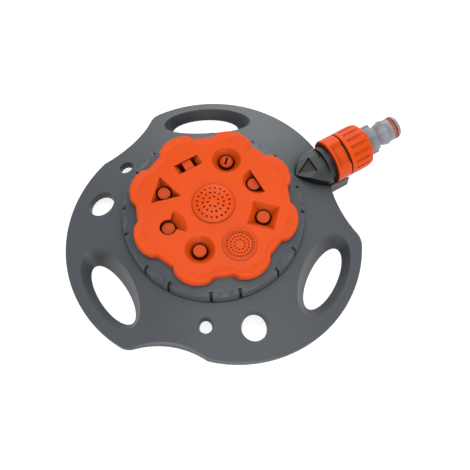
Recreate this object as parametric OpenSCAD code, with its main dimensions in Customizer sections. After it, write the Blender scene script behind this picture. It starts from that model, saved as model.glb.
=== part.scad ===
// Multi-pattern lawn sprinkler: a three-lobed base with hand holes, a turret with
// eight spray patterns, and a hose inlet with flow control and a union nut.
// Millimetres. The turret turns about Z, the ground is z = 0, the inlet points to +X.

/* [Base] */
// Radius of each lobe's outer arc
lobe_r = 82.4; // [81.6:0.2:83.4]
// Distance of each lobe's centre from the turret axis
lobe_off = 18; // [17.5:0.5:19]
// Direction of the first lobe in degrees
lobe_dir = 61.6; // [60:0.4:64]
// Radius of the concave notch arcs between the lobes
notch_r = 55; // [50:1:60]
// Distance from the turret axis to the bottom of each notch
notch_min = 83.2; // [82.6:0.2:84.4]
// Direction of the first notch in degrees
notch_dir = 105; // [104:0.5:106]
// Radius of the rounded corner where a lobe meets a notch
corner_r = 11; // [9:0.5:12]
// Height of the deck under the turret
deck_h = 24.4; // [24.2:0.1:24.8]
// Height of the outer edge of the lobes
edge_h = 3.2; // [2.8:0.2:4]
// Wall thickness of the base shell
shell_t = 2.6; // [2:0.1:3]
// Distance of the hand holes from the turret axis
hand_r = 79.6; // [79:0.2:80.2]
// Direction of the first hand hole in degrees
hand_dir = 63.2; // [62:0.4:65]
// Length of a hand hole at the top, across the radius
hand_top_l = 64; // [60:1:66]
// Width of a hand hole at the top, along the radius
hand_top_w = 29; // [27:0.5:30]
// Length of a hand hole at the bottom
hand_low_l = 44.5; // [42:0.5:46]
// Width of a hand hole at the bottom
hand_low_w = 16.5; // [15:0.5:17.5]
// How much nearer the turret axis a hand hole's bottom lies than its top
hand_low_in = 1.4; // [1:0.1:1.8]
// How far a hand hole's bottom is moved round the turret axis
hand_low_side = 1.7; // [1.2:0.1:2.2]
// Radius of the two larger round holes
round_r = 8.6; // [8:0.1:9]
// Distance of the larger round holes from the turret axis
round_at = 74.9; // [74:0.3:75.8]
// Radius of the two smaller round holes
drain_r = 4.6; // [4:0.1:5]
// Distance of the smaller round holes from the turret axis
drain_at = 70.8; // [70:0.2:71.6]
// Thickness of the ribs under the deck
rib_t = 2; // [1.6:0.2:2.6]

/* [Turret] */
// Radius of the circle that the eight patterns lie on
pattern_r = 32; // [31.4:0.2:32.4]
// Radius of the turret skirt at its foot
skirt_r = 58.1; // [57.6:0.1:58.6]
// Height of the skirt's foot above the ground
skirt_foot = 25.2; // [25:0.1:25.5]
// Wall thickness of the skirt
skirt_t = 2.6; // [2.2:0.1:2.8]
// Height of the turret's flat top above the ground
top_h = 43.5; // [43:0.1:44]
// Radius of the disc at the middle of each bulge
bulge_out = 53; // [52.4:0.2:53.4]
// Radius of the arc of each bulge
bulge_r = 16.7; // [16:0.2:17.4]
// Half of the angle that each bulge spans
bulge_half = 14.3; // [13.5:0.2:15]
// Distance of the disc's straight edges from the axis
flat_r = 47.1; // [46.8:0.1:47.6]
// Thickness of the disc's top wall
disc_t = 3; // [2.6:0.1:3.2]
// Depth of the shaped recess of each pattern
recess_d = 3.8; // [3.4:0.1:4.2]
// Radius of the round recesses at the top
recess_r = 9.3; // [8.8:0.1:9.6]
// Side of the square recess
square_side = 16.8; // [16:0.2:17.4]
// Side of the triangular recess
triangle_side = 19.5; // [18.5:0.5:20.5]
// Radius of the quarter recess
quarter_r = 11.6; // [11.2:0.1:12.2]
// Length of the strip recess, across the radius
strip_l = 17; // [16:0.5:18]
// Width of the strip recess
strip_w = 7; // [6:0.2:7.4]
// Radius of the nozzle buttons
button_r = 4.25; // [4:0.05:4.5]
// Depth of the button tops below the disc's top
button_sink = 1.9; // [1.5:0.1:2.3]
// Width of the ring gap around each button
spray_gap = 0.95; // [0.8:0.05:1.1]
// Radius of the ports in the nozzle plate
port_r = 4.6; // [4.4:0.1:4.8]
// Thickness of the nozzle plate
plate_t = 3; // [2.8:0.1:3.2]
// Height of the nozzle plate's lower face above the ground
plate_z = 30; // [29.9:0.05:30.2]
// Thickness of the plate gasket
gasket_t = 0.9; // [0.7:0.1:1.1]
// Radius of the centre rose
rose_r = 13.3; // [13:0.1:13.8]
// Height of the rose's dome above its edge
rose_rise = 2.4; // [2:0.1:3]
// Diameter of the rose's spray holes
rose_hole = 1.2; // [1:0.1:1.4]

/* [Pivot and detent] */
// Radius of the fixed post that the turret turns on
post_r = 7; // [6.8:0.1:7.4]
// Radial running clearance between post and hub
run_gap = 0.05; // [0.03:0.01:0.08]
// Outer radius of the turret's hub
hub_r = 11; // [10.6:0.1:11.2]
// Diameter of the pivot screw's shank
pivot_d = 4; // [3.5:0.1:4.5]
// Radius at which the detent spring meets the nozzle plate
detent_r = 46; // [45.6:0.1:46.2]
// Radius of the detent spring's nose
nose_r = 1.5; // [1.3:0.1:1.6]
// Width of the detent spring
leaf_w = 6; // [5:0.5:7]
// Thickness of the detent spring
leaf_t = 0.5; // [0.4:0.05:0.6]

/* [Inlet] */
// Height of the inlet axis above the ground
inlet_z = 16.5; // [16.4:0.05:16.6]
// Outer radius of the water pipe under the deck
pipe_r = 6.8; // [6.6:0.1:7]
// Inner radius of the water pipe
pipe_bore = 4.6; // [4.4:0.1:4.8]
// Half width of the inlet hood
hood_half = 15; // [14.6:0.1:15.2]
// Radius of the hood's sides, seen from above
hood_side_r = 36.8; // [36:0.2:38]
// Distance from the turret axis to the hood's widest place
hood_side_x = 92; // [91:0.5:93]
// Distance from the turret axis to the hood's outer wall
hood_end = 85; // [84.6:0.2:85.4]
// Distance from the turret axis to the end of the cheeks
cheek_end = 97.8; // [97:0.2:98.4]
// Wall thickness of the inlet housing
hood_t = 2.4; // [2:0.1:2.6]
// Outer radius of the port tower
tower_r = 8.2; // [8.2:0.1:8.6]
// Bore of the port tower around the seal sleeve
tower_bore = 5.5; // [5.3:0.1:5.7]
// Gap between the port seal and the nozzle plate
seal_gap = 0.2; // [0.15:0.05:0.3]

/* [Flow control] */
// Outer radius of the flow ring and of the union nut
grip_r = 15.3; // [15.1:0.1:15.4]
// Distance from the turret axis to the flow ring's lip
ring_x = 88.6; // [88.4:0.1:88.8]
// Length of the flow ring
ring_l = 10; // [9.8:0.1:10.2]
// Depth of the flow ring's finger scoops
scoop_d = 1.9; // [1.6:0.1:2]
// Outer radius of the adapter under the flow ring
adapter_r = 10.5; // [10.3:0.1:10.7]
// Bore of the adapter
adapter_bore = 7.5; // [7.3:0.05:7.7]
// Travel of the flow sleeve from open to shut
sleeve_travel = 3; // [2:0.5:3]
// Bore of the flow sleeve
sleeve_bore = 4.8; // [4.4:0.1:5]

/* [Hose connection] */
// Outer radius of the adapter's threaded nose
thread_r = 13.15; // [13:0.05:13.2]
// Length of the union nut
nut_l = 18.4; // [18:0.1:18.8]
// Number of grooves in the union nut
nut_grooves = 18; // [12:1:20]
// Radius of the nipple's body
nipple_r = 7.9; // [7.8:0.05:8]
// Radius of the nipple's locking ridge
ridge_r = 8.65; // [8.5:0.05:8.8]
// Radius of the nipple's neck
neck_r = 6.7; // [6.6:0.05:6.9]
// Length of the nipple's grip collar past the union nut
grip_len = 7.4; // [7:0.2:7.8]
// Length of the nipple past the union nut
nipple_l = 27; // [26.6:0.1:27.6]
// Bore of the nipple
nipple_bore = 5; // [4.5:0.1:5.2]

/* [Hidden] */
$fn = 64;
eps = 0.01;
fit = 0.05;
orange = [0.93, 0.33, 0.14];
grey = [0.33, 0.35, 0.37];
pale = [0.6, 0.6, 0.62];
steel = [0.75, 0.76, 0.78];
black = [0.1, 0.1, 0.11];

// Base
base_out = lobe_r + lobe_off;
deck_r = skirt_r + 0.4;
slope = (deck_h - edge_h) / (base_out - deck_r);
tilt = atan(slope);
collar_low = 1;
collar_t = 2.4;
round_dirs = [139.45, 259.45];
drain_dirs = [115.85, 235.85];
guide_r = skirt_r - skirt_t - 0.6;
guide_t = 1.8;
guide_h = 3.4;
rib_low = 3;
function cone_z(r) = deck_h - slope * (r - deck_r);
function unit(v) = v / norm(v);
function side_of(v) = [v[1], -v[0]];
function meet(a, ra, b, rb) =
    let (v = b - a, d = norm(v), x = (d * d + ra * ra - rb * rb) / (2 * d))
    a + x * unit(v) + sqrt(ra * ra - x * x) * side_of(unit(v));
lobe_c = lobe_off * [cos(lobe_dir), sin(lobe_dir)];
notch_c = (notch_min + notch_r) * [cos(notch_dir), sin(notch_dir)];
corner_c = meet(lobe_c, lobe_r, notch_c, notch_r);
fillet_c = meet(lobe_c, lobe_r - corner_r, notch_c, notch_r + corner_r);

// Turret
pattern_dirs = [0, 45, 90, 135, 180, 225, 270, 315];
button_dirs = [0, 45, 135, 180, 225, 315];
rose_dir = 270;
plate_top = plate_z + plate_t;
boss_low = plate_top + gasket_t + 0.1;
disc_low = top_h - disc_t;
button_top = top_h - button_sink;
bore_r = button_r + spray_gap;
boss_r = bore_r + 2;
collar_in = flat_r - 1.6;
plate_r = collar_in + 2.8;
shoulder_top = top_h - 3.9;
wall_top = top_h - 9.3;
shoulder_r = skirt_r - 1.1;
shoulder_slope = (shoulder_top - wall_top) / (shoulder_r - collar_in);
seat_gap = 0.15;
chamber_r = rose_r - 0.9;
chamber_t = 2.4;
duct_w = 5;
duct_top = boss_low + 4.4;
fix_r = 42;
fix_dirs = [22.5, 112.5, 202.5, 292.5];
function shoulder_z(r) = shoulder_top - shoulder_slope * (r - collar_in);

// Pivot
boss_h = 1.3;
hub_low = deck_h + boss_h + 0.3;
hub_top = plate_top + 1;
post_top = hub_top + 0.2;
washer_r = 9;
washer_t = 1.2;
o_ring_z = plate_z - 0.2;
o_ring_t = 0.9;
leaf_in = 26;
leaf_fix = 30;
nose_top = plate_z + 1.1;
notch_clear = 0.4;

// Inlet
seal_top = plate_z - seal_gap;
seal_t = 1.6;
hood_start = deck_r + 0.8;
hood_mid = 11;
housing_gap = 0.25;
pipe_z = deck_h - shell_t - 1.5 - pipe_r;
facet_low = deck_h - 2;
facet_len = 23.2;
roof_t = hood_t + 1.2;
arrow_d = roof_t - 1.2;
facet_rise = hood_mid + hood_half - facet_low;
neck_r_out = 12;
cheek_x = hood_end - hood_t;
socket_r = 8.2;
socket_x = 79;
neck_bore = 9.5;
neck_x = hood_end + 0.4;
tower_top = seal_top - seal_t - 1.1;
ear_x = [30, 52];
ear_y = 14;
ear_z = 9.5;
ear_t = 2.5;
ear_r = 4.5;
screw_d = 3.5;
sleeve_low = 22;
spring_seat = 19;

// Flow control and hose connection
neck_end = ring_x + 0.4;
nose_x = ring_x + ring_l + 0.3;
nut_x = nose_x + 0.7;
nose_l = 12;
nose_end = nose_x + nose_l;
washer_l = 1.7;
flange_x = nose_end + washer_l + 0.2;
flange_t = 1.8;
nut_end = nut_x + nut_l;
nut_hole = grip_r - 4.6;
nut_wall_x = flange_x + flange_t + 0.3;
nut_bore = thread_r + 0.3;
lug_r = 1.5;
lug_x = nose_x - lug_r - 1.5;
slot_low = lug_x - sleeve_travel - lug_r - 0.3;
sleeve_x = slot_low - 2.7;
sleeve_l = 16;
sleeve_ring_x = [sleeve_x + 1.5, sleeve_x + sleeve_l - 1.9];
tail_x = sleeve_x - sleeve_travel - 0.6;
sleeve_r = adapter_bore - 0.05;
ring_groove = grip_r - scoop_d - 0.9;
ridge_x = nut_end + 16.2;
o_ring_x = nut_end + 23.1;
nipple_end = nut_end + nipple_l;
ring_sink = 0.94;

// A straight piece along the inlet axis
module inlet_rod(x0, x1, r, r2 = -1)
    translate([x0, 0, inlet_z]) rotate([0, 90, 0])
        cylinder(h = x1 - x0, r1 = r, r2 = r2 < 0 ? r : r2);

// A straight piece along the water pipe, which lies lower than the inlet axis
module pipe_rod(x0, x1, r)
    translate([x0, 0, pipe_z]) rotate([0, 90, 0]) cylinder(h = x1 - x0, r = r);

// A ring of round section about the inlet axis
module inlet_ring(x, mid_r, t)
    translate([x, 0, inlet_z]) rotate([0, 90, 0])
        rotate_extrude() translate([mid_r, 0]) circle(t / 2, $fn = 32);

module at_polar(r, dir) rotate(dir) translate([r, 0, 0]) children();

// Outline of the base, drawn in by inset
module base_outline(inset = 0) {
    fillet = corner_r - inset;
    foot_a = lobe_c + (lobe_r - inset) * unit(fillet_c - lobe_c);
    foot_b = notch_c + (notch_r + inset) * unit(fillet_c - notch_c);
    difference() {
        for (k = [0:2]) rotate(120 * k) intersection() {
            rotate(lobe_dir) translate([lobe_off, 0]) circle(lobe_r - inset, $fn = 180);
            polygon(concat([[0, 0]],
                [for (a = [-120.5, -60, 0.5])
                    2 * base_out * [cos(notch_dir + a), sin(notch_dir + a)]]));
        }
        for (k = [0:2]) rotate(notch_dir + 120 * k)
            translate([notch_min + notch_r, 0]) circle(notch_r + inset, $fn = 180);
        for (k = [0:2]) rotate(120 * k) difference() {
            polygon([fillet_c, foot_a, fillet_c + 3 * (corner_c - fillet_c), foot_b]);
            translate(fillet_c) circle(fillet + 0.03, $fn = 96);
        }
    }
}

// Closed body of the base: the outline under the cone
module base_body()
    intersection() {
        linear_extrude(deck_h) base_outline();
        rotate_extrude($fn = 180)
            polygon([[0, 0], [deck_r + deck_h / slope, 0], [deck_r, deck_h], [0, deck_h]]);
    }

// Hollow under the base's walls
module base_hollow() {
    drop = shell_t * sqrt(1 + slope * slope);
    knee = deck_r - (drop - shell_t) / slope;
    low = -1;
    intersection() {
        translate([0, 0, low]) linear_extrude(deck_h) base_outline(shell_t);
        rotate_extrude($fn = 180)
            polygon([[0, low], [deck_r + (deck_h - drop - low) / slope, low],
                [knee, deck_h - shell_t], [0, deck_h - shell_t]]);
    }
}

// A hand hole's funnel, wider by grow and reaching lift above the sloping surface
module hand_funnel(grow, low, lift) {
    rise = cone_z(hand_r) - low;
    k = (rise + lift) / rise;
    half_w = hand_low_w / 2 + (hand_top_w / 2 / cos(tilt) - hand_low_w / 2) * k;
    half_l = hand_low_l / 2 + (hand_top_l / 2 - hand_low_l / 2) * k;
    hull() {
        translate([-hand_low_in, hand_low_side, low])
            scale([hand_low_w / 2 + grow, hand_low_l / 2 + grow, 1])
                cylinder(h = eps, r = 1, $fn = 40);
        translate([hand_low_in * (k - 1), hand_low_side * (1 - k), low + rise + lift])
            rotate([0, tilt, 0])
                scale([half_w + grow, half_l + grow, 1]) cylinder(h = eps, r = 1, $fn = 40);
    }
}

module base_shell() color(grey) {
    difference() {
        union() {
            difference() {
                base_body();
                base_hollow();
            }
            intersection() {
                base_body();
                for (k = [0:2]) at_polar(hand_r, hand_dir + 120 * k)
                    hand_funnel(collar_t, collar_low, 4);
            }
            for (a = [60:60:300]) rotate(a)
                translate([post_r - 1, -rib_t / 2, rib_low])
                    cube([deck_r - post_r, rib_t, deck_h - rib_low - shell_t / 2]);
            cylinder(h = post_top, r = post_r);
            cylinder(h = 3, r = post_r + 3);
            translate([0, 0, deck_h - 1]) cylinder(h = boss_h + 1, r = hub_r);
            translate([0, 0, deck_h - 1]) difference() {
                cylinder(h = guide_h + 1, r = guide_r, $fn = 120);
                translate([0, 0, -1]) cylinder(h = guide_h + 3, r = guide_r - guide_t, $fn = 120);
            }
            for (x = ear_x, y = [-ear_y, ear_y])
                translate([x, y, ear_z + ear_t + 0.05])
                    cylinder(h = deck_h - ear_z - ear_t - 1, r = ear_r - 0.5);
            translate([-leaf_fix, 0, deck_h - 8]) cylinder(h = 7, r = 3.5);
        }
        for (k = [0:2]) at_polar(hand_r, hand_dir + 120 * k) hand_funnel(0, -0.5, 4.1);
        for (a = round_dirs) at_polar(round_at, a)
            translate([0, 0, -1]) cylinder(h = deck_h + 2, r = round_r);
        for (a = drain_dirs) at_polar(drain_at, a)
            translate([0, 0, -1]) cylinder(h = deck_h + 2, r = drain_r);
        translate([0, 0, -1]) linear_extrude(deck_h + 9) hood_plan(housing_gap);
        translate([cheek_x - housing_gap, -hood_half - housing_gap, -1])
            cube([base_out, 2 * (hood_half + housing_gap), deck_h + 9]);
        pipe_rod(hood_start - 2, cheek_x, pipe_r + 0.35);
        translate([pattern_r, 0, deck_h - shell_t - 1]) cylinder(h = 9, r = tower_r + 0.4);
        translate([0, 0, post_top - 18]) cylinder(h = 20, d = pivot_d + 2 * fit);
        translate([0, 0, o_ring_z - o_ring_t]) difference() {
            cylinder(h = 2 * o_ring_t, r = post_r + 1);
            translate([0, 0, -1]) cylinder(h = 4, r = post_r - 2 * o_ring_t);
        }
        for (x = ear_x, y = [-ear_y, ear_y])
            translate([x, y, 0]) cylinder(h = deck_h - 3, d = screw_d + 2 * fit);
        translate([-leaf_fix, 0, deck_h - 7]) cylinder(h = 8, d = 3 + 2 * fit);
    }
}

// Section of the hood across the inlet axis, drawn in by inset
module hood_section(inset = 0, low = 0) {
    half = hood_half - inset;
    translate([-half, low]) square([2 * half, hood_mid - low]);
    intersection() {
        translate([0, hood_mid]) circle(half);
        translate([-half, hood_mid - 1]) square([2 * half, half + 2]);
    }
}

// The hood seen from above: two round sides that meet at a point by the turret
module hood_plan(grow = 0)
    intersection_for (s = [-1, 1])
        translate([hood_side_x, s * (hood_side_r - hood_half)])
            circle(hood_side_r + grow, $fn = 180);

module hood_run(x0, x1, inset = 0, low = 0)
    translate([x0, 0, 0]) rotate([90, 0, 90])
        linear_extrude(x1 - x0) hood_section(inset, low);

// Block of height h whose lower face lies lift above the hood's slanted facet,
// or the arrow sunk into that facet
module hood_plane(lift, h, arrow = false)
    translate([hood_start, 0, facet_low]) rotate([0, -atan(facet_rise / facet_len), 0])
        translate([0, 0, lift])
            if (arrow) linear_extrude(h) polygon([[5.2, 0], [17.2, -5.7], [17.2, 5.7]]);
            else translate([-10, -20, 0]) cube([10 + facet_len + 0.9, 40, h]);

module inlet_housing() color(grey)
    difference() {
        union() {
            difference() {
                union() {
                    difference() {
                        intersection() {
                            hood_run(hood_start, hood_end);
                            linear_extrude(40) hood_plan();
                        }
                        intersection() {
                            hood_run(hood_start, cheek_x, hood_t, -1);
                            hood_plane(-20 - roof_t, 20);
                            translate([0, 0, -2]) linear_extrude(40) hood_plan(-hood_t);
                        }
                    }
                    pipe_rod(pattern_r, socket_x, pipe_r);
                    inlet_rod(socket_x - 2, hood_end - 1, socket_r + 1.2);
                }
                hood_plane(0, 12);
                hood_plane(-arrow_d, 5, true);
            }
            difference() {
                for (s = [-1, 1]) translate([cheek_x, s > 0 ? 9 : -hood_half, 0])
                    cube([cheek_end - cheek_x, hood_half - 9, hood_mid + 1]);
                inlet_rod(ring_x - 1, cheek_end + 1, grip_r + 0.6);
            }
            inlet_rod(hood_end - 1, neck_end, neck_r_out);
            translate([pattern_r, 0, pipe_z - pipe_r - 0.3])
                cylinder(h = tower_top - pipe_z + pipe_r + 0.3, r = tower_r);
            for (x = ear_x, s = [-1, 1]) {
                translate([x, s * ear_y, ear_z]) cylinder(h = ear_t, r = ear_r);
                translate([x - 3, s > 0 ? 3 : -ear_y, ear_z]) cube([6, ear_y - 3, ear_t]);
            }
        }
        pipe_rod(pattern_r - 2, socket_x + 1, pipe_bore);
        inlet_rod(socket_x, neck_end + 1, socket_r);
        inlet_rod(neck_x, neck_end + 1, neck_bore);
        translate([pattern_r, 0, pipe_z]) cylinder(h = 20, r = tower_bore - 1.3);
        translate([pattern_r, 0, spring_seat]) cylinder(h = 20, r = tower_bore);
        for (x = ear_x, y = [-ear_y, ear_y])
            translate([x, y, 0]) cylinder(h = 20, d = screw_d + 0.7);
    }

module pan_screw(d, l, head_r, head_h) {
    cylinder(h = l, d = d);
    translate([0, 0, -head_h]) difference() {
        cylinder(h = head_h, r1 = head_r * 0.8, r2 = head_r);
        translate([0, 0, -eps]) cylinder(h = head_h * 0.6, r = head_r * 0.4, $fn = 6);
    }
}

module housing_screws() color(steel)
    for (x = ear_x, y = [-ear_y, ear_y])
        translate([x, y, ear_z]) pan_screw(screw_d, deck_h - ear_z - 4, 3.4, 2);

module pivot_screw() color(steel)
    translate([0, 0, post_top + washer_t]) mirror([0, 0, 1])
        pan_screw(pivot_d, 16, 4, 2.4);

module pivot_washer() color(steel)
    translate([0, 0, post_top]) difference() {
        cylinder(h = washer_t, r = washer_r);
        translate([0, 0, -1]) cylinder(h = washer_t + 2, d = pivot_d + 0.3);
    }

module pivot_o_ring() color(black)
    translate([0, 0, o_ring_z])
        rotate_extrude() translate([post_r - o_ring_t + run_gap - 0.01, 0])
            circle(o_ring_t, $fn = 32);

module detent_spring() color(steel) {
    rise_end = detent_r - 2.4;
    leaf_top = nose_top - nose_r;
    difference() {
        translate([0, leaf_w / 2, 0]) rotate([90, 0, 0]) linear_extrude(leaf_w)
            polygon([[-leaf_in, deck_h], [-leaf_in, deck_h + leaf_t],
                [-leaf_fix - 4, deck_h + leaf_t], [-rise_end, leaf_top],
                [-detent_r - 1.5, leaf_top], [-detent_r - 1.5, leaf_top - leaf_t],
                [-rise_end, leaf_top - leaf_t], [-leaf_fix - 4, deck_h]]);
        translate([-leaf_fix, 0, deck_h - 1]) cylinder(h = 3, d = 3 + 2 * fit);
    }
    intersection() {
        translate([-detent_r, 0, leaf_top]) sphere(nose_r);
        translate([-detent_r - 3, -3, leaf_top - leaf_t / 2]) cube([6, 6, 6]);
    }
}

module detent_screw() color(steel)
    translate([-leaf_fix, 0, deck_h + leaf_t]) mirror([0, 0, 1])
        pan_screw(3, 6, 2.8, 1.6);

// Outline of the disc: an octagon with eight bulges
module disc_outline() {
    circle(flat_r / cos(22.5), $fn = 8);
    for (a = pattern_dirs) rotate(a) intersection() {
        translate([bulge_out - bulge_r, 0]) circle(bulge_r, $fn = 96);
        polygon([[0, 0], 70 * [cos(bulge_half), -sin(bulge_half)],
            70 * [cos(bulge_half), sin(bulge_half)]]);
    }
}

// The disc's top wall, rounded off at the rim
module disc_cap() {
    rim_r = bulge_out + 0.6;
    intersection() {
        translate([0, 0, wall_top]) linear_extrude(top_h) disc_outline();
        rotate_extrude($fn = 120)
            polygon([[0, disc_low], [collar_in - 1, disc_low],
                [collar_in, shoulder_z(collar_in) + seat_gap],
                [rim_r, shoulder_z(rim_r) + seat_gap],
                [rim_r, top_h - 4.3], [bulge_out - 0.8, top_h - 1.9],
                [bulge_out - 3, top_h - 0.6], [bulge_out - 6.2, top_h], [0, top_h]]);
    }
}

// A recess with n sides that narrows from a radius of top to one of low
module taper(top, low = bore_r + 0.05, n = 64)
    translate([0, 0, top_h - recess_d])
        cylinder(h = recess_d + eps, r1 = low, r2 = top * (1 + eps / recess_d), $fn = n);

module button_bore()
    translate([0, 0, boss_low - 1]) cylinder(h = top_h - boss_low, r = bore_r);

module round_recess() {
    taper(recess_r);
    button_bore();
}

module half_recess()
    intersection() {
        round_recess();
        translate([-20, -20, 0]) cube([20, 40, 60]);
    }

module polygon_recess(n, corner, turn) {
    rotate(turn) taper(corner, bore_r * 1.15, n);
    button_bore();
}

module quarter_recess() {
    intersection() {
        taper(quarter_r);
        linear_extrude(top_h + 1) rotate(135) square(20);
    }
    translate([0, 0, boss_low - 1]) cylinder(h = top_h - boss_low + 2, r = bore_r);
}

module strip_recess() {
    slot_l = 2.4;
    slot_at = 4.3;
    for (s = [-1, 1]) {
        translate([-strip_w / 2, s * slot_at - slot_l / 2, boss_low - 1])
            cube([strip_w, slot_l, top_h]);
        translate([strip_w / 2, s * slot_at, 0]) rotate([0, -90, 0]) linear_extrude(strip_w)
            polygon([[top_h - recess_d, 0], [top_h + 1, 0],
                [top_h + 1, s * (strip_l / 2 - slot_at + 0.4)],
                [top_h, s * (strip_l / 2 - slot_at)]]);
    }
    translate([-strip_w / 2, -slot_at, top_h - 1]) cube([strip_w, 2 * slot_at, 2]);
    translate([0, 0, boss_low - 1]) cylinder(h = 3.5, r = bore_r);
}

module nozzle_boss() {
    translate([0, 0, boss_low]) cylinder(h = top_h - boss_low - 1, r = boss_r);
    flare_low = max(boss_low, top_h - recess_d - 1.6);
    translate([0, 0, flare_low]) cylinder(h = top_h - 1.6 - flare_low, r = recess_r + 1.4);
}

// Raised ring and rings of shallow dots that mark the centre rose's position
module rose_mark_dots()
    for (ring = [[3.3, 10], [5.6, 18], [7.8, 26]])
        for (i = [0:ring[1] - 1])
            rotate(i * 360 / ring[1]) translate([ring[0], 0, top_h - 0.5])
                cylinder(h = 1, r = 0.5, $fn = 16);

module turret_disc() color(orange)
    difference() {
        union() {
            disc_cap();
            for (a = pattern_dirs) at_polar(pattern_r, a) nozzle_boss();
            translate([0, 0, boss_low])
                cylinder(h = top_h - boss_low - 1, r = chamber_r + chamber_t);
            rotate(rose_dir) translate([chamber_r, -duct_w / 2 - 2, boss_low])
                cube([pattern_r - chamber_r, duct_w + 4, top_h - boss_low - 1]);
            for (a = fix_dirs) at_polar(fix_r, a)
                translate([0, 0, boss_low]) cylinder(h = top_h - boss_low - 1, r = 3.1);
            at_polar(pattern_r, rose_dir) translate([0, 0, top_h - 1]) difference() {
                cylinder(h = 1.35, r = 10.4);
                translate([0, 0, 1]) cylinder(h = 2, r = 9.2);
            }
        }
        at_polar(pattern_r, 0) half_recess();
        at_polar(pattern_r - 2.6, 0) intersection() {
            button_bore();
            translate([-20, -20, 0]) cube([22.6, 40, 60]);
        }
        at_polar(pattern_r, 45) round_recess();
        at_polar(pattern_r, 90) strip_recess();
        at_polar(pattern_r, 135) polygon_recess(3, triangle_side / sqrt(3), 180);
        at_polar(pattern_r, 180) quarter_recess();
        at_polar(pattern_r, 225) round_recess();
        at_polar(pattern_r, 315) polygon_recess(4, square_side / sqrt(2), 45);
        at_polar(pattern_r, rose_dir) {
            translate([0, 0, boss_low - 1]) cylinder(h = duct_top - boss_low + 1, r = port_r);
            rose_mark_dots();
        }
        rotate(rose_dir) translate([0, -duct_w / 2, boss_low - 1])
            cube([pattern_r, duct_w, duct_top - boss_low + 1]);
        translate([0, 0, boss_low - 1]) cylinder(h = top_h, r = chamber_r);
        for (a = fix_dirs) at_polar(fix_r, a)
            translate([0, 0, boss_low - 1]) cylinder(h = 6, d = 2.5 + 2 * fit);
    }

module turret_skirt() color(grey)
    difference() {
        rotate_extrude($fn = 120)
            polygon([[skirt_r, skirt_foot], [skirt_r - 0.5, wall_top - 1],
                [shoulder_r, wall_top], [collar_in, shoulder_top],
                [collar_in, plate_top + 0.1], [plate_r + 0.2, plate_top + 0.1],
                [plate_r + 0.2, shoulder_z(plate_r) - skirt_t * 1.1],
                [skirt_r - skirt_t - 0.6, wall_top - skirt_t + 0.6],
                [skirt_r - skirt_t, skirt_foot]]);
        for (a = pattern_dirs) rotate(a + 22.5) {
            for (s = [-1, 1]) rotate(9 * s)
                translate([skirt_r - 1.9, -0.85, skirt_foot - 1])
                    cube([5, 1.7, wall_top - skirt_foot + 0.6]);
            translate([shoulder_r + 5.4, 0, wall_top + 3.6]) sphere(8, $fn = 48);
        }
    }

// A button on its stem, held in the port by three webs
module button(slit = false) {
    difference() {
        union() {
            translate([0, 0, plate_z + 0.5])
                cylinder(h = button_top - plate_z - 1, r = 2.2);
            translate([0, 0, plate_top + 3])
                cylinder(h = button_top - plate_top - 3.4, r = button_r);
            translate([0, 0, button_top - 0.4 - eps])
                cylinder(h = 0.4 + eps, r1 = button_r, r2 = button_r - 0.4);
            if (slit) translate([0, 0, button_top - 1])
                intersection() {
                    cylinder(h = 3, r = button_r - 0.4);
                    translate([0, 0, -2.6]) sphere(5);
                }
            for (a = [60:120:300]) rotate(a)
                translate([1.75, -0.6, plate_z + 0.7]) cube([port_r - 1.25, 1.2, plate_t - 1]);
        }
        if (slit) {
            translate([0, 0, plate_z - 1]) cylinder(h = button_top - plate_z - 2, r = 1.3);
            translate([-2.5, -0.65, button_top - 4]) cube([5, 1.3, 8]);
        }
    }
}

module nozzle_plate() color(orange)
    difference() {
        union() {
            difference() {
                translate([0, 0, plate_z]) cylinder(h = plate_t, r = plate_r, $fn = 120);
                for (a = pattern_dirs) at_polar(pattern_r, a)
                    translate([0, 0, plate_z - 1]) cylinder(h = plate_t + 2, r = port_r);
            }
            for (a = [45, 135, 180, 225, 315]) at_polar(pattern_r, a) button(a == 45);
            intersection() {
                at_polar(pattern_r - 2.6, 0) button();
                translate([0, -10, 0]) cube([pattern_r - 0.3, 20, 60]);
            }
            translate([0, 0, hub_low]) cylinder(h = hub_top - hub_low, r = hub_r);
        }
        translate([0, 0, hub_low - 1]) cylinder(h = hub_top, r = post_r + run_gap);
        for (a = pattern_dirs) rotate(a)
            translate([detent_r - 2.4, 0, plate_z - 0.2]) rotate([0, 90, 0])
                cylinder(h = 6, r = nose_r + notch_clear, $fn = 32);
        for (a = fix_dirs) at_polar(fix_r, a) {
            translate([0, 0, plate_z - 1]) cylinder(h = plate_t + 2, d = 3.1);
            translate([0, 0, plate_z - eps]) cylinder(h = 1.6, r1 = 2.9, r2 = 1.55);
        }
    }

module plate_gasket() color(black)
    translate([0, 0, plate_top + 0.05]) difference() {
        cylinder(h = gasket_t, r = collar_in - 0.5, $fn = 96);
        translate([0, 0, -1]) {
            cylinder(h = 4, r = hub_r + 0.3);
            for (a = pattern_dirs) at_polar(pattern_r, a) cylinder(h = 4, r = bore_r);
            at_polar(pattern_r - 2.6, 0) cylinder(h = 4, r = bore_r);
            for (a = fix_dirs) at_polar(fix_r, a) cylinder(h = 4, d = 3.1);
        }
    }

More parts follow.
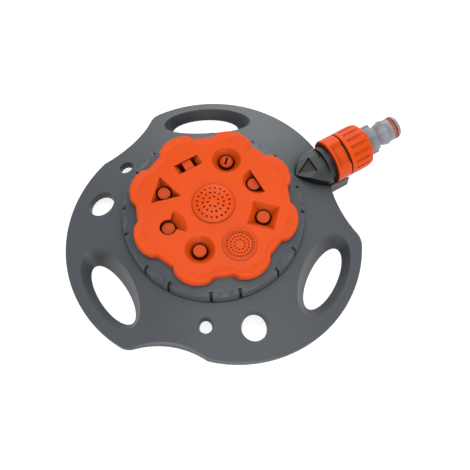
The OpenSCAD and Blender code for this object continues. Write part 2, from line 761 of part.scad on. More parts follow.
module centre_rose() color(orange) {
    dome_r = (rose_r * rose_r + rose_rise * rose_rise) / (2 * rose_rise);
    edge = 0.5;
    wall = 1.8;
    mid = top_h + edge + rose_rise - dome_r;
    plug_r = chamber_r - 0.1;
    difference() {
        union() {
            intersection() {
                translate([0, 0, mid]) sphere(dome_r, $fn = 180);
                translate([0, 0, top_h]) cylinder(h = edge + rose_rise + 1, r = rose_r);
            }
            translate([0, 0, top_h - disc_t]) cylinder(h = disc_t + eps, r = plug_r);
        }
        intersection() {
            translate([0, 0, mid]) sphere(dome_r - wall, $fn = 180);
            translate([0, 0, top_h - disc_t - 1]) cylinder(h = 10, r = plug_r - 1.2);
        }
        for (ring = [[3.4, 7], [6.6, 14], [10.2, 20]])
            for (i = [0:ring[1] - 1])
                translate([0, 0, mid]) rotate([0, asin(ring[0] / dome_r), i * 360 / ring[1]])
                    translate([0, 0, dome_r - wall - 1])
                        cylinder(h = wall + 2, d = rose_hole, $fn = 16);
    }
}

module turret_screws() color(steel)
    for (a = fix_dirs) at_polar(fix_r, a) {
        translate([0, 0, plate_z]) cylinder(h = 8, d = 2.5);
        translate([0, 0, plate_z + 0.1]) cylinder(h = 1.4, r1 = 2.7, r2 = 1.25);
    }

module port_seal() color(black)
    translate([pattern_r, 0, seal_top - seal_t]) difference() {
        cylinder(h = seal_t, r = tower_bore + 1);
        translate([0, 0, -1]) cylinder(h = seal_t + 2, r = tower_bore - 1.9);
    }

module seal_sleeve() color(pale)
    translate([pattern_r, 0, sleeve_low]) difference() {
        cylinder(h = seal_top - seal_t - sleeve_low, r = tower_bore - 0.06);
        translate([0, 0, -1]) cylinder(h = 12, r = tower_bore - 1.9);
        translate([0, 0, 2.2]) difference() {
            cylinder(h = 1.6, r = tower_bore + 1);
            translate([0, 0, -1]) cylinder(h = 4, r = tower_bore - 1.1);
        }
    }

module seal_o_ring() color(black)
    translate([pattern_r, 0, sleeve_low + 3]) rotate_extrude()
        translate([tower_bore - 0.57, 0]) circle(0.5, $fn = 32);

module seal_spring() color(steel)
    translate([pattern_r, 0, spring_seat + 0.05]) difference() {
        cylinder(h = sleeve_low - spring_seat - 0.1, r = tower_bore - 0.3);
        translate([0, 0, -1]) cylinder(h = 6, r = tower_bore - 1.1);
    }

module inlet_adapter() color(grey)
    difference() {
        union() {
            inlet_rod(socket_x + 0.1, neck_x + 0.2, socket_r - fit);
            inlet_rod(neck_x + 0.1, neck_end + 0.1, neck_bore - fit);
            inlet_rod(neck_end + 0.1, nose_x + 0.2, adapter_r);
            inlet_rod(nose_x, nose_end - 0.8, thread_r);
            inlet_rod(nose_end - 0.8, nose_end, thread_r, thread_r - 0.8);
        }
        inlet_rod(socket_x - 1, tail_x + 1, sleeve_bore + 1.5);
        inlet_rod(tail_x, nose_end - 4, adapter_bore);
        inlet_rod(nose_end - 6, nose_end + 1, adapter_bore + 2);
        translate([slot_low, -lug_r - 0.15, inlet_z - 20])
            cube([sleeve_travel + 2 * lug_r + 0.6, 2 * lug_r + 0.3, 40]);
    }

// Fixed cone on three arms that the sleeve closes against
module throttle_cone() color(pale)
    difference() {
        union() {
            inlet_rod(socket_x + 0.4, socket_x + 2.4, sleeve_bore + 1.5 - fit);
            inlet_rod(socket_x + 2.3, tail_x - 0.2, 2.4, sleeve_bore + 0.2);
        }
        for (a = [0:120:240]) translate([socket_x, 0, inlet_z]) rotate([a, 0, 0])
            translate([0, 0, 4.1]) rotate([0, 90, 0]) cylinder(h = 3, r = 1.7);
    }

// Block with slanting sides that leaves one grip ridge on the flow ring
module ridge_block(a)
    translate([ring_x, 0, inlet_z]) rotate([a, 0, 0]) rotate([90, 0, 90])
        linear_extrude(ring_l + 1)
            polygon([[9, -8.5], [grip_r + 1, -5.8], [grip_r + 1, 5.8], [9, 8.5]]);

module flow_ring() color(orange)
    difference() {
        union() {
            inlet_rod(ring_x, ring_x + 0.8, grip_r - 0.4, grip_r);
            inlet_rod(ring_x + 0.8, ring_x + 1.8, grip_r);
            inlet_rod(ring_x + 1.7, ring_x + ring_l, grip_r - scoop_d);
            for (a = [52, 172, 292]) intersection() {
                inlet_rod(ring_x + 1.7, ring_x + ring_l - 0.01, grip_r);
                ridge_block(a);
            }
        }
        inlet_rod(ring_x - 1, ring_x + ring_l + 1, adapter_r + run_gap);
        inlet_rod(ring_x - 1, neck_end + 0.3, neck_r_out + 0.3);
        inlet_rod(slot_low - 0.3, lug_x + lug_r + 0.6, ring_groove);
    }

module flow_sleeve() color(pale)
    difference() {
        union() {
            inlet_rod(sleeve_x, sleeve_x + sleeve_l, sleeve_r);
            translate([lug_x, 0, inlet_z - ring_groove + 0.4])
                cylinder(h = 2 * ring_groove - 0.8, r = lug_r);
        }
        inlet_rod(sleeve_x - 1, sleeve_x + sleeve_l + 1, sleeve_bore);
        for (x = sleeve_ring_x) difference() {
            inlet_rod(x - 0.8, x + 0.8, sleeve_r + 1);
            inlet_rod(x - 1, x + 1, sleeve_r - 1.3);
        }
    }

module sleeve_o_rings() color(black)
    for (x = sleeve_ring_x) inlet_ring(x, adapter_bore - 0.7, 1.3);

module inlet_filter() color(pale)
    difference() {
        union() {
            inlet_rod(nose_end - 1.6, nose_end - 0.2, adapter_bore + 2 - fit);
            inlet_rod(nose_end - 5.6, nose_end - 1.5, adapter_bore - fit);
        }
        inlet_rod(nose_end - 4.8, nose_end + 1, adapter_bore - 1);
        for (i = [-2:2]) translate([nose_end - 7, -5, inlet_z + i * 2.2 - 0.4])
            cube([3, 10, 0.8]);
    }

module union_nut() color(orange)
    difference() {
        union() {
            inlet_rod(nut_x, nut_x + 0.6, grip_r - 0.3, grip_r);
            inlet_rod(nut_x + 0.6, nut_end - 5, grip_r);
            inlet_rod(nut_end - 5, nut_end - 1.8, grip_r, grip_r - 0.7);
            inlet_rod(nut_end - 1.8, nut_end, grip_r - 0.7, grip_r - 2.9);
        }
        inlet_rod(nut_x - 1, nut_wall_x - 0.1, nut_bore);
        inlet_rod(nut_x - 1, nut_end + 1, nut_hole);
        for (i = [0:nut_grooves - 1]) translate([0, 0, inlet_z])
            rotate([i * 360 / nut_grooves, 0, 0])
                translate([nut_x + 3.2, 0, grip_r + 0.5]) rotate([0, 90, 0])
                    cylinder(h = nut_l, r = 1.2, $fn = 24);
    }

module hose_nipple() color(pale)
    difference() {
        union() {
            inlet_rod(flange_x, flange_x + flange_t, nut_bore - 0.3);
            inlet_rod(flange_x, nut_end + grip_len, nut_hole - 0.4);
            inlet_rod(nut_end + grip_len, nut_end + grip_len + 1, nut_hole - 1.4, neck_r + 1);
            inlet_rod(nut_end, nut_end + grip_len + 4, neck_r);
            inlet_rod(nut_end + grip_len + 3, ridge_x, neck_r, ridge_r);
            inlet_rod(ridge_x, ridge_x + 0.8, ridge_r);
            inlet_rod(ridge_x + 0.8, ridge_x + 1.4, ridge_r, nipple_r);
            inlet_rod(ridge_x + 1.3, nipple_end - 1, nipple_r);
            inlet_rod(nipple_end - 1, nipple_end, nipple_r, nipple_r - 0.7);
        }
        inlet_rod(flange_x - 1, nipple_end + 1, nipple_bore);
        difference() {
            inlet_rod(o_ring_x - 1.3, o_ring_x + 1.3, nipple_r + 1);
            inlet_rod(o_ring_x - 2, o_ring_x + 2, nipple_r - ring_sink - 0.95);
        }
        for (a = [0:60:300]) translate([0, 0, inlet_z]) rotate([a + 30, 0, 0])
            translate([nut_end + 2, 0, nut_hole + 1.5]) rotate([0, 90, 0])
                cylinder(h = grip_len + 1, r = 3, $fn = 32);
    }

module nipple_o_ring() color(orange)
    inlet_ring(o_ring_x, nipple_r - ring_sink, 1.9);

module union_washer() color(black)
    difference() {
        inlet_rod(nose_end + 0.1, nose_end + 0.1 + washer_l, nut_bore - 0.4);
        inlet_rod(nose_end, nose_end + washer_l + 1, adapter_bore);
    }

base_shell();
inlet_housing();
housing_screws();
pivot_screw();
pivot_washer();
pivot_o_ring();
detent_spring();
detent_screw();
turret_skirt();
turret_disc();
nozzle_plate();
plate_gasket();
centre_rose();
turret_screws();
port_seal();
seal_sleeve();
seal_o_ring();
seal_spring();
inlet_adapter();
throttle_cone();
flow_ring();
flow_sleeve();
sleeve_o_rings();
inlet_filter();
union_nut();
hose_nipple();
nipple_o_ring();
union_washer();
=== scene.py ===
"""Multi-pattern lawn sprinkler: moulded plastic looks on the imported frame, in metres."""
import math

import bpy
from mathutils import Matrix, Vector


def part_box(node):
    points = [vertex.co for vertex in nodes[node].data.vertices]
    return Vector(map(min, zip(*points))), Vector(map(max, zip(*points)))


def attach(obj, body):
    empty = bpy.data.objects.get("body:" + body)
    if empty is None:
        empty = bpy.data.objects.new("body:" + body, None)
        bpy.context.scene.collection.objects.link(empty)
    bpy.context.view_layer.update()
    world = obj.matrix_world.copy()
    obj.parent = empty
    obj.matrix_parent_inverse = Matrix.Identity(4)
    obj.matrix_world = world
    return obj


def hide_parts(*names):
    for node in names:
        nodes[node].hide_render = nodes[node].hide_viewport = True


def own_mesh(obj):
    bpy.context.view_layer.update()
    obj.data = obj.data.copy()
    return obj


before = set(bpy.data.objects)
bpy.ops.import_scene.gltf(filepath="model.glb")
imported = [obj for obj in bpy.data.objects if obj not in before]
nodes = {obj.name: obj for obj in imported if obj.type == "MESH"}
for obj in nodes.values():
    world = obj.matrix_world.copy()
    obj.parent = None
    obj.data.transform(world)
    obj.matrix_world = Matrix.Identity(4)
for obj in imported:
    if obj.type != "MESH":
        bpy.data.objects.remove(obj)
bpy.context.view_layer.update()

MM = 0.001
# Height of the hose inlet's axis, and distance of the watered port from the turret's axis
INLET_Z = 16.5 * MM
PORT_X = 32 * MM
# The turret repeats eight times: patterns, bulges of the disc, scoops of the skirt
SECTORS = 8
HALF_SECTOR = math.pi / SECTORS

# Width of the melt's flow marks on moulded plastic, and the part of their noise that is used
FLOW_MM = 45
FLOW_LOW, FLOW_HIGH = 0.3, 0.7
# Width of the drawn grain on plated steel; the real one is finer and wouldn't show
DRAWN_MM = 1.2
# Sockets of a Mix node for colours go by number, because their names come more than once
MIX_FACTOR, MIX_FIRST, MIX_SECOND, MIX_RESULT = 0, 6, 7, 2


def linear(code):
    """A colour written as six sRGB hex digits, in the linear values that shaders take."""
    parts = [int(code[i:i + 2], 16) / 255 for i in (0, 2, 4)]
    return [c / 12.92 if c <= 0.04045 else ((c + 0.055) / 1.055) ** 2.4 for c in parts] + [1]


def add(tree, kind, settings=None, links=None):
    """One shader node with its settings and its incoming links."""
    made = tree.nodes.new(kind)
    for name, value in (settings or {}).items():
        if name in made.inputs:
            made.inputs[name].default_value = value
        else:
            setattr(made, name, value)
    for name, socket in (links or {}).items():
        tree.links.new(socket, made.inputs[name])
    return made


def shade_painted_in_hollows(tree, skin, colour, reach_mm, deepest, clear):
    """The skin with painted shade: a darker tone in corners and recesses, where nearby walls
    would keep out light, full where a place is as sheltered as deepest, and none where it is as
    open as clear."""
    shelter = add(tree, "ShaderNodeAmbientOcclusion",
                  {"samples": 8, "Distance": reach_mm * MM}).outputs["AO"]
    open_air = add(tree, "ShaderNodeMapRange", {"From Min": deepest, "From Max": clear},
                   {"Value": shelter}).outputs["Result"]
    blend = add(tree, "ShaderNodeMix", {"data_type": "RGBA"})
    blend.inputs[MIX_FIRST].default_value = linear(colour)
    tree.links.new(open_air, blend.inputs[MIX_FACTOR])
    tree.links.new(skin, blend.inputs[MIX_SECOND])
    return blend.outputs[MIX_RESULT]


def moulded(name, colour, shade, roughness, spread, grain_mm, depth_mm, edge_mm, gleam=0.5,
            painted_shade=None):
    """Injection-moulded plastic or rubber: a slow drift of colour and gloss from the melt's
    flow, the grain of an eroded mould, soft edges where the mould was not sharp, and painted
    shade in corners and recesses.
    The real grain is under 0.1 mm, and is drawn as coarse as grain_mm so that it shows."""
    material = bpy.data.materials.new(name)
    material.use_nodes = True
    tree = material.node_tree
    surface = tree.nodes["Principled BSDF"]
    where = add(tree, "ShaderNodeTexCoord").outputs["Object"]
    flow = add(tree, "ShaderNodeTexNoise",
               {"Scale": 1 / (FLOW_MM * MM), "Detail": 3, "Roughness": 0.5},
               {"Vector": where}).outputs["Fac"]
    tint = add(tree, "ShaderNodeValToRGB", links={"Fac": flow})
    tint.color_ramp.elements[0].position = FLOW_LOW
    tint.color_ramp.elements[0].color = linear(shade)
    tint.color_ramp.elements[1].position = FLOW_HIGH
    tint.color_ramp.elements[1].color = linear(colour)
    skin = tint.outputs["Color"]
    # Shade is painted into the colour of corners and recesses here
    if painted_shade:
        skin = shade_painted_in_hollows(tree, skin, **painted_shade)
    tree.links.new(skin, surface.inputs["Base Color"])
    grain = add(tree, "ShaderNodeTexNoise",
                {"Scale": 1 / (grain_mm * MM), "Detail": 2, "Roughness": 0.6},
                {"Vector": where}).outputs["Fac"]
    gloss = add(tree, "ShaderNodeMapRange",
                {"From Min": FLOW_LOW, "From Max": FLOW_HIGH,
                 "To Min": roughness - spread, "To Max": roughness + spread},
                {"Value": flow}).outputs["Result"]
    tree.links.new(gloss, surface.inputs["Roughness"])
    soft = add(tree, "ShaderNodeBevel", {"samples": 6, "Radius": edge_mm * MM}).outputs["Normal"]
    bump = add(tree, "ShaderNodeBump", {"Strength": 0.35, "Distance": depth_mm * MM},
               {"Height": grain, "Normal": soft})
    tree.links.new(bump.outputs["Normal"], surface.inputs["Normal"])
    surface.inputs["IOR"].default_value = 1.5
    surface.inputs["Specular IOR Level"].default_value = gleam
    return material


def plated_steel(name, colour, roughness):
    """Zinc-plated steel: grey with a fine drawn grain that spreads the highlight."""
    material = bpy.data.materials.new(name)
    material.use_nodes = True
    tree = material.node_tree
    surface = tree.nodes["Principled BSDF"]
    where = add(tree, "ShaderNodeTexCoord").outputs["Object"]
    drawn = add(tree, "ShaderNodeTexNoise", {"Scale": 1 / (DRAWN_MM * MM), "Detail": 3},
                {"Vector": where}).outputs["Fac"]
    gloss = add(tree, "ShaderNodeMapRange",
                {"To Min": roughness - 0.08, "To Max": roughness + 0.1},
                {"Value": drawn}).outputs["Result"]
    tree.links.new(gloss, surface.inputs["Roughness"])
    surface.inputs["Base Color"].default_value = linear(colour)
    surface.inputs["Metallic"].default_value = 1
    return material


# Satin ABS in signal orange, with a faint flow drift so that wide faces aren't flat, and shade
# painted red-brown into its recesses and grooves
orange_abs = moulded(
    "orange_abs", colour="D04600", shade="C94200", roughness=0.4, spread=0.04,
    grain_mm=0.9, depth_mm=0.04, edge_mm=1.0, gleam=0.16,
    painted_shade={"colour": "6E2206", "reach_mm": 9, "deepest": 0.45, "clear": 1.0})
# The same ABS in the nozzle plate, duller, because its mould was eroded and never polished; its
# darker orange is painted shade on the sunken buttons, and more shade is painted into its
# hollows
shaded_plate_abs = moulded(
    "dull_shaded_orange_abs", colour="C04410", shade="B8400C", roughness=0.5, spread=0.04,
    grain_mm=0.7, depth_mm=0.05, edge_mm=0.6, gleam=0.16,
    painted_shade={"colour": "5C1A04", "reach_mm": 5, "deepest": 0.3, "clear": 1.0})
# Dark grey polypropylene of the base, dull from a spark-eroded mould, with shade painted far
# down the walls of the hand holes and in other hollows
grey_pp = moulded(
    "grey_polypropylene", colour="474B50", shade="43474B", roughness=0.5, spread=0.05,
    grain_mm=0.8, depth_mm=0.07, edge_mm=1.2, gleam=0.4,
    painted_shade={"colour": "0E0F10", "reach_mm": 26, "deepest": 0.42, "clear": 0.88})
# The same plastic in the turret skirt, a little smoother, where hands grip and turn it, with
# shade painted into its slots and along its foot
skirt_pp = moulded(
    "hand_worn_polypropylene", colour="44484C", shade="3F4448", roughness=0.46, spread=0.05,
    grain_mm=0.8, depth_mm=0.06, edge_mm=0.9, gleam=0.4,
    painted_shade={"colour": "141516", "reach_mm": 3, "deepest": 0.3, "clear": 0.95})
# A copy of the base's grey painted darker, as painted shade on the inlet hood, the adapter
# behind the union nut and the collars under the holes, with more shade painted low on the hood's
# sides
shaded_grey_pp = moulded(
    "shaded_grey_polypropylene", colour="303235", shade="2C2E31", roughness=0.44, spread=0.05,
    grain_mm=0.8, depth_mm=0.06, edge_mm=0.8, gleam=0.4,
    painted_shade={"colour": "050506", "reach_mm": 9, "deepest": 0.76, "clear": 1.0})
# Light grey acetal of the hose nipple, smooth because rubber seals on it, with shade painted
# into its grooves
acetal = moulded(
    "light_grey_acetal", colour="808187", shade="7A7B81", roughness=0.34, spread=0.03,
    grain_mm=0.6, depth_mm=0.02, edge_mm=0.45, gleam=0.4,
    painted_shade={"colour": "0C0C0E", "reach_mm": 6, "deepest": 0.35, "clear": 1.0})
# Nitrile rubber of the seals: almost black, with a dull sheen
nitrile = moulded(
    "nitrile_rubber", colour="151516", shade="101011", roughness=0.62, spread=0.05,
    grain_mm=0.5, depth_mm=0.03, edge_mm=0.2)
# Silicone rubber of the nipple's ring, a dusty orange
silicone = moulded(
    "orange_silicone", colour="C04A24", shade="B8441F", roughness=0.5, spread=0.05,
    grain_mm=0.5, depth_mm=0.02, edge_mm=0.2, gleam=0.3)
# Zinc-plated steel of screws and springs, a soft grey shine
zinc_steel = plated_steel("zinc_plated_steel", colour="B9BCC0", roughness=0.34)

finishes = {
    orange_abs: ["turret_disc", "centre_rose", "flow_ring", "union_nut"],
    shaded_plate_abs: ["nozzle_plate"],
    grey_pp: ["base_shell"],
    skirt_pp: ["turret_skirt"],
    shaded_grey_pp: ["inlet_housing", "inlet_adapter"],
    acetal: ["hose_nipple", "seal_sleeve", "throttle_cone", "flow_sleeve", "inlet_filter"],
    nitrile: ["pivot_o_ring", "plate_gasket", "port_seal", "seal_o_ring", "sleeve_o_rings",
              "union_washer"],
    silicone: ["nipple_o_ring"],
    zinc_steel: ["housing_screws", "pivot_screw", "pivot_washer", "detent_spring",
                 "detent_screw", "turret_screws", "seal_spring"],
}
for finish, names in finishes.items():
    for name in names:
        piece = nodes[name].data
        piece.materials.clear()
        piece.materials.append(finish)


def around(reach, turn, z):
    """The point at a distance from the turret's axis, turned about it, at a height."""
    return reach * math.cos(turn), reach * math.sin(turn), z


def joined_to(first):
    """Joins the shape just added to the first one, if there is one, and hands that on."""
    if first:
        first.select_set(True)
        bpy.context.view_layer.objects.active = first
        bpy.ops.object.join()
    return bpy.context.object


def place(piece, name, body, finish):
    """Names a finished piece, gives it its finish and lets it move with a body."""
    piece.name = name
    piece.data.name = name
    piece.data.materials.clear()
    piece.data.materials.append(finish)
    bpy.ops.object.transform_apply(location=True, rotation=True, scale=True)
    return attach(piece, body)


def helix(radius, wire, rise, turns, sides, steps, start, about_x=False):
    """A wound wire: a small circle swept up a screw, then laid along its own axis."""
    bpy.ops.object.select_all(action="DESELECT")
    bpy.ops.mesh.primitive_circle_add(vertices=sides, radius=wire, rotation=(math.pi / 2, 0, 0))
    coil = bpy.context.object
    bpy.ops.object.transform_apply(rotation=True)
    bpy.ops.object.mode_set(mode="EDIT")
    bpy.ops.mesh.select_all(action="SELECT")
    bpy.ops.transform.translate(value=(radius, 0, 0))
    bpy.ops.object.mode_set(mode="OBJECT")
    screw = coil.modifiers.new("wind", "SCREW")
    screw.angle = turns * 2 * math.pi
    screw.screw_offset = rise
    screw.steps = screw.render_steps = int(steps * turns)
    bpy.ops.object.modifier_apply(modifier="wind")
    bpy.ops.object.mode_set(mode="EDIT")
    bpy.ops.mesh.select_all(action="DESELECT")
    bpy.ops.mesh.select_non_manifold()
    bpy.ops.mesh.edge_face_add()
    bpy.ops.mesh.select_all(action="SELECT")
    bpy.ops.mesh.normals_make_consistent(inside=False)
    bpy.ops.object.mode_set(mode="OBJECT")
    bpy.ops.object.shade_smooth()
    coil.location = start
    if about_x:
        coil.rotation_euler = (0, math.pi / 2, 0)
    return coil


def cross_screw(head_r, head_h, shank_r, length):
    """A pan-head screw that points up from the origin, with a cross recess and a thread."""
    recess_size = (head_r * 1.1, head_r * 0.24, head_h * 1.2)
    core_r, core_sunk = shank_r * 0.78, 0.05 * MM
    wound_r, ridge_r = shank_r * 0.76, shank_r * 0.2
    bpy.ops.object.select_all(action="DESELECT")
    bpy.ops.mesh.primitive_cylinder_add(vertices=40, radius=head_r, depth=head_h,
                                        location=(0, 0, -head_h / 2))
    head = bpy.context.object
    crown = head.modifiers.new("crown", "BEVEL")
    crown.width = 0.28 * head_h
    crown.segments = 4
    bpy.ops.object.modifier_apply(modifier="crown")
    for turn in (0, math.pi / 2):
        bpy.ops.mesh.primitive_cube_add(size=1, location=(0, 0, -head_h), scale=recess_size,
                                        rotation=(0, 0, turn))
        driver_bit = bpy.context.object
        bpy.context.view_layer.objects.active = head
        recess = head.modifiers.new("recess", "BOOLEAN")
        recess.object = driver_bit
        bpy.ops.object.modifier_apply(modifier="recess")
        bpy.data.objects.remove(driver_bit)
    bpy.ops.object.select_all(action="DESELECT")
    bpy.ops.mesh.primitive_cylinder_add(vertices=24, radius=core_r, depth=length,
                                        location=(0, 0, length / 2 - core_sunk))
    shank = bpy.context.object
    bpy.ops.object.transform_apply(location=True, rotation=True, scale=True)
    thread = helix(wound_r, ridge_r, rise=length * 0.8, turns=8, sides=4, steps=24,
                   start=(0, 0, length * 0.15))
    bpy.ops.object.transform_apply(location=True, rotation=True, scale=True)
    for part in (head, shank, thread):
        part.select_set(True)
    bpy.context.view_layer.objects.active = head
    bpy.ops.object.join()
    bpy.ops.object.transform_apply(location=True, rotation=True, scale=True)
    bpy.ops.object.shade_smooth_by_angle(angle=math.radians(35))
    return head


# The wound spring that presses the port seal against the turret, as long as the part's box; the
# real one shortens as the seal sinks, this coil doesn't
SPRING_R, SPRING_WIRE, SPRING_TURNS = 4.75 * MM, 0.32 * MM, 2.5
low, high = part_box("seal_spring")
spring = helix(SPRING_R, SPRING_WIRE, rise=high.z - low.z - 2 * SPRING_WIRE,
               turns=SPRING_TURNS, sides=12, steps=40, start=(PORT_X, 0, low.z + SPRING_WIRE))
place(spring, "seal_spring_coil", "base", zinc_steel)
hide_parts("seal_spring")
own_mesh(spring)

# The disc's raised, rounded rim: a bead that follows eight straight edges and eight bulges.
# Outline, in mm: reach of a straight edge, where a bulge's arc is centred and its radius
DISC_TOP_Z = 43.5 * MM
EDGE_REACH, BULGE_CENTRE, BULGE_ARC = 47.1, 36.3, 16.7
BULGE_HALF = math.radians(14.3)
# The corners between them are rounded by a mean over these small turns
CORNER_TURNS = [math.radians(turn) for turn in (-0.8, -0.4, 0, 0.4, 0.8)]
# Section, in mm: how far it stands out and runs in, its crown over the disc's face, how deep
# its widest line lies, how much its lower side is rounded, how deep its inner edge ends in the
# disc, and how far inside the outline it is seated
BEAD_OUT, BEAD_IN, BEAD_CROWN, BEAD_DEEP = 1.0, 5.4, 0.5, 4.4
BEAD_HEM, BEAD_SUNK, BEAD_SEAT = 1.4, 0.06, 0.1
# Shoulder of the outer side: 1 is an ellipse's, and less is fuller
BEAD_FULLNESS = 0.6
# The plain ring that is drawn out into the bead
RING_R, RING_WIRE = 50 * MM, 2 * MM


def rim_reach(angle):
    """Distance of the disc's outline from the turret's axis, in mm."""
    from_bulge = (angle + HALF_SECTOR) % (2 * HALF_SECTOR) - HALF_SECTOR
    if abs(from_bulge) > BULGE_HALF:
        return EDGE_REACH / math.cos(HALF_SECTOR - abs(from_bulge))
    return BULGE_CENTRE * math.cos(from_bulge) + math.sqrt(
        BULGE_ARC ** 2 - (BULGE_CENTRE * math.sin(from_bulge)) ** 2)


def rim_section(turn):
    """One point of the bead's section, as its way out from the outline and its height over the
    disc, in mm: a round outer side, a crown, and an inner side that runs out into the disc."""
    out = math.cos(turn) * (BEAD_OUT if math.cos(turn) > 0 else BEAD_IN)
    if math.sin(turn) < 0:
        return out, -BEAD_DEEP + BEAD_HEM * math.sin(turn) * abs(math.cos(turn))
    if out > 0:
        return out, -BEAD_DEEP + (BEAD_DEEP + BEAD_CROWN) * math.sin(turn) ** BEAD_FULLNESS
    fall = 0.5 + 0.5 * math.cos(math.pi * out / BEAD_IN)
    return out, -BEAD_SUNK + (BEAD_SUNK + BEAD_CROWN) * fall


bpy.ops.object.select_all(action="DESELECT")
bpy.ops.mesh.primitive_torus_add(major_segments=256, minor_segments=32, major_radius=RING_R,
                                 minor_radius=RING_WIRE)
bead = bpy.context.object
for point in bead.data.vertices:
    angle = math.atan2(point.co.y, point.co.x)
    section = math.atan2(point.co.z, math.hypot(point.co.x, point.co.y) - RING_R)
    outline = sum(rim_reach(angle + turn) for turn in CORNER_TURNS) / len(CORNER_TURNS)
    out, height = rim_section(section)
    point.co = around((outline - BEAD_SEAT + out) * MM, angle, DISC_TOP_Z + height * MM)
bpy.ops.object.shade_smooth()
place(bead, "turret_disc_rim", "turret", orange_abs)

# The skirt with its grip slots run up over the shoulder and its scoops hollowed a little deeper.
# Two slots lie beside the middle of each scoop, which is the mark of a ball
SLOT_SIZE = (7 * MM, 1.7 * MM, 3 * MM)
SLOT_REACH, SLOT_Z = 58.4 * MM, 34.8 * MM
SLOT_TURN = math.radians(9)
BALL_R, BALL_REACH, BALL_Z = 8.4 * MM, 62.4 * MM, 37.8 * MM
bpy.ops.object.select_all(action="DESELECT")
skirt = nodes["turret_skirt"].copy()
skirt.data = skirt.data.copy()
bpy.context.scene.collection.objects.link(skirt)
skirt.select_set(True)
bpy.context.view_layer.objects.active = skirt
bpy.ops.object.mode_set(mode="EDIT")
bpy.ops.mesh.select_all(action="SELECT")
bpy.ops.mesh.remove_doubles(threshold=0.002 * MM)
bpy.ops.object.mode_set(mode="OBJECT")
bpy.ops.object.select_all(action="DESELECT")
cutter = None
for sector in range(SECTORS):
    middle = HALF_SECTOR * (2 * sector + 1)
    for turn in (middle - SLOT_TURN, middle + SLOT_TURN):
        bpy.ops.mesh.primitive_cube_add(size=1, scale=SLOT_SIZE, rotation=(0, 0, turn),
                                        location=around(SLOT_REACH, turn, SLOT_Z))
        cutter = joined_to(cutter)
    bpy.ops.mesh.primitive_uv_sphere_add(segments=64, ring_count=32, radius=BALL_R,
                                         location=around(BALL_REACH, middle, BALL_Z))
    cutter = joined_to(cutter)
bpy.context.view_layer.objects.active = skirt
grips = skirt.modifiers.new("grips", "BOOLEAN")
grips.object = cutter
bpy.ops.object.modifier_apply(modifier="grips")
bpy.data.objects.remove(cutter)
bpy.ops.object.select_all(action="DESELECT")
skirt.select_set(True)
bpy.ops.object.shade_smooth_by_angle(angle=math.radians(25))
place(skirt, "turret_skirt_grips", "turret", skirt_pp)
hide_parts("turret_skirt")

# Short collars under the four round holes, cut along the underside of the sloping deck and drawn
# in towards their lower end; their darker plastic paints the shade inside the holes.
# The holes: degrees round the base, reach of the middle and radius, both in mm
ROUND_HOLES = ((139.45, 74.9, 8.6), (259.45, 74.9, 8.6), (115.85, 70.8, 4.6),
               (235.85, 70.8, 4.6))
# The deck's outer face, in mm: its height at a reach, and its fall for each mm further out
DECK_REACH, DECK_Z, DECK_FALL = 58.5, 24.4, 0.501
# The collars, in mm: top and foot below that face, play in the hole, draw and wall
COLLAR_TOP, COLLAR_FOOT = 1.4, 6.2
COLLAR_PLAY, COLLAR_DRAW, COLLAR_WALL = 0.03, 0.75, 1.5
for number, (angle, reach, radius) in enumerate(ROUND_HOLES, start=1):
    bpy.ops.object.select_all(action="DESELECT")
    bpy.ops.mesh.primitive_cylinder_add(
        vertices=64, radius=(radius + COLLAR_PLAY) * MM, depth=2 * MM, end_fill_type="NOTHING",
        location=around(reach * MM, math.radians(angle), 0))
    collar = bpy.context.object
    for point in collar.data.vertices:
        if point.co.z < 0:
            point.co.x *= 1 - COLLAR_DRAW / radius
            point.co.y *= 1 - COLLAR_DRAW / radius
    bpy.ops.object.transform_apply(location=True)
    for point in collar.data.vertices:
        outwards = math.hypot(point.co.x, point.co.y) / MM - DECK_REACH
        below = COLLAR_TOP if point.co.z > 0 else COLLAR_FOOT
        point.co.z = (DECK_Z - DECK_FALL * outwards - below) * MM
    wall = collar.modifiers.new("wall", "SOLIDIFY")
    wall.thickness = COLLAR_WALL * MM
    wall.offset = 1
    bpy.ops.object.modifier_apply(modifier="wall")
    bpy.ops.object.shade_smooth_by_angle(angle=math.radians(35))
    place(collar, "hole_collar_%d" % number, "base", shaded_grey_pp)

# The pipe thread on the adapter's nose and its counterpart in the union nut, half a pitch
# further on; they turn past each other because the nut moves one pitch in each turn
PITCH = 1.814 * MM
NOSE_X = 100.2 * MM
THREAD_R, NUT_THREAD_R, RIDGE_R = 13.1 * MM, 13.53 * MM, 0.28 * MM
outer = helix(THREAD_R, RIDGE_R, rise=5 * PITCH, turns=5, sides=4, steps=72,
              start=(NOSE_X, 0, INLET_Z), about_x=True)
place(outer, "adapter_thread", "base", shaded_grey_pp)
inner = helix(NUT_THREAD_R, RIDGE_R, rise=4 * PITCH, turns=4, sides=4, steps=72,
              start=(NOSE_X + PITCH / 2, 0, INLET_Z), about_x=True)
place(inner, "union_nut_thread", "nut", orange_abs)

# Four screws that hold the inlet housing under the base, driven from below
SCREW_SPOTS = [(x * MM, y * MM, 9.5 * MM) for x in (30, 52) for y in (-14, 14)]
first = cross_screw(head_r=3.4 * MM, head_h=2 * MM, shank_r=1.7 * MM, length=10.9 * MM)
first.location = SCREW_SPOTS[0]
row = [first]
for spot in SCREW_SPOTS[1:]:
    twin = first.copy()
    twin.data = first.data.copy()
    twin.location = spot
    bpy.context.scene.collection.objects.link(twin)
    row.append(twin)
bpy.ops.object.select_all(action="DESELECT")
for screw in row:
    screw.select_set(True)
bpy.context.view_layer.objects.active = first
bpy.ops.object.join()
place(first, "housing_screws_cross", "base", zinc_steel)
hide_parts("housing_screws")

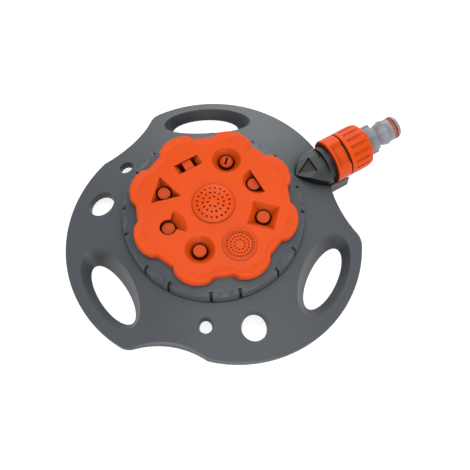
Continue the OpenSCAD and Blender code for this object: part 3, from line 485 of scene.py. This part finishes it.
# A wide floor of white paper, which glows a little so that it stays pale under the object
FLOOR_M, FLOOR_DROP, FLOOR_GLOW = 40, 0.2 * MM, 0.85
bpy.ops.object.select_all(action="DESELECT")
bpy.ops.mesh.primitive_plane_add(size=FLOOR_M, location=(0, 0, -FLOOR_DROP))
floor = bpy.context.object
floor.name = "floor"
paper = bpy.data.materials.new("white_paper")
paper.use_nodes = True
sheet = paper.node_tree.nodes["Principled BSDF"]
sheet.inputs["Base Color"].default_value = linear("9C9C9C")
sheet.inputs["Emission Color"].default_value = linear("FFFFFF")
sheet.inputs["Emission Strength"].default_value = FLOOR_GLOW
sheet.inputs["Roughness"].default_value = 0.9
floor.data.materials.append(paper)

# Soft studio light: a wide top panel, a panel behind to the right, a weak fill in front, each
# with its width in m, power in W and place in m, and an even light from all round
ROOM_LIGHT = 0.42
PANELS = (("top_panel", 1.0, 12.5, (0.05, 0.0, 1.27)),
          ("back_panel", 0.9, 9.0, (0.75, 1.0, 0.5)),
          ("front_fill", 0.8, 7.0, (-0.3, -1.1, 0.46)))
world = bpy.data.worlds.new("studio")
bpy.context.scene.world = world
world.use_nodes = True
world.node_tree.nodes["Background"].inputs["Color"].default_value = (1, 1, 1, 1)
world.node_tree.nodes["Background"].inputs["Strength"].default_value = ROOM_LIGHT
for name, width, power, spot in PANELS:
    lamp = bpy.data.lights.new(name, "AREA")
    lamp.size = width
    lamp.energy = power
    stand = bpy.data.objects.new(name, lamp)
    bpy.context.scene.collection.objects.link(stand)
    stand.location = spot
    away = stand.location.normalized()
    stand.rotation_euler = away.to_track_quat("Z", "Y").to_euler()

# Camera at the photograph's viewpoint: place in m, turn in degrees about X, Y and Z
EYE_SPOT = (-0.1012, -0.1848, 0.4673)
EYE_TURN = (24.0623, -0.8068, -30.7350)
eye = bpy.data.cameras.new("camera")
eye.sensor_width = 36
eye.lens = 58.38
eye.clip_start = 0.01
camera = bpy.data.objects.new("camera", eye)
bpy.context.scene.collection.objects.link(camera)
camera.location = EYE_SPOT
camera.rotation_euler = [math.radians(turn) for turn in EYE_TURN]
bpy.context.scene.camera = camera
# Colours come out as their hex values say
bpy.context.scene.view_settings.view_transform = "Standard"
